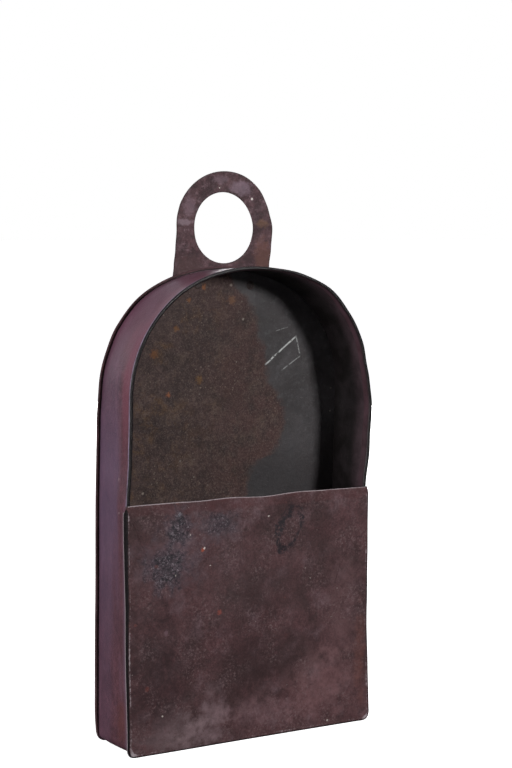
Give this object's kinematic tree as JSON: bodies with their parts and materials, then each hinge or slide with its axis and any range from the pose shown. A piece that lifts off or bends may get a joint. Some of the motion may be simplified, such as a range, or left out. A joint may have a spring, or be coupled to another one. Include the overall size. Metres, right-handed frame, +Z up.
{
  "type": "candle lantern",
  "caption": "Arched sheet-iron wall lantern with an open front, a deep front pocket, a ring hanger behind and a socket that holds a candle stub.",
  "frame": {"origin": "on the ground under the middle of the lantern's bounding box, at the foot of its folded seams", "axes": "+X to the viewer's right, -Y out of the open front, +Y towards the wall, +Z up"},
  "size_m": [0.2048, 0.047, 0.4143],
  "materials": {
    "painted_sheet": "worn dark maroon paint on sheet iron, with chips, rust and paint lost along the folds",
    "back_sheet": "thin dark brown paint, rust-speckled, rubbed down to dull grey iron on one side",
    "rivets": "soft iron rivets, painted over and worn",
    "tinplate": "dull tinplate, smoked and rust-spotted",
    "wax": "old cream wax with a melted hollow and drips",
    "wick": "braided cotton, charred at the tip"
  },
  "bodies": {
    "lantern": {"back_plate": "back_sheet", "side_band": "painted_sheet", "front_panel": "painted_sheet", "hanger_tab": "painted_sheet", "hanger_rivets": "rivets", "lap_rivets": "rivets", "drip_pan": "tinplate", "candle_socket": "tinplate", "socket_rivet": "rivets"},
    "candle": {"candle": "wax", "wick": "wick"}
  },
  "joints": [
    {"name": "candle_lift", "type": "slide", "parent": "lantern", "child": "candle", "axis": [0, 0, 1], "range_m": [0, 0.176]}
  ]
}
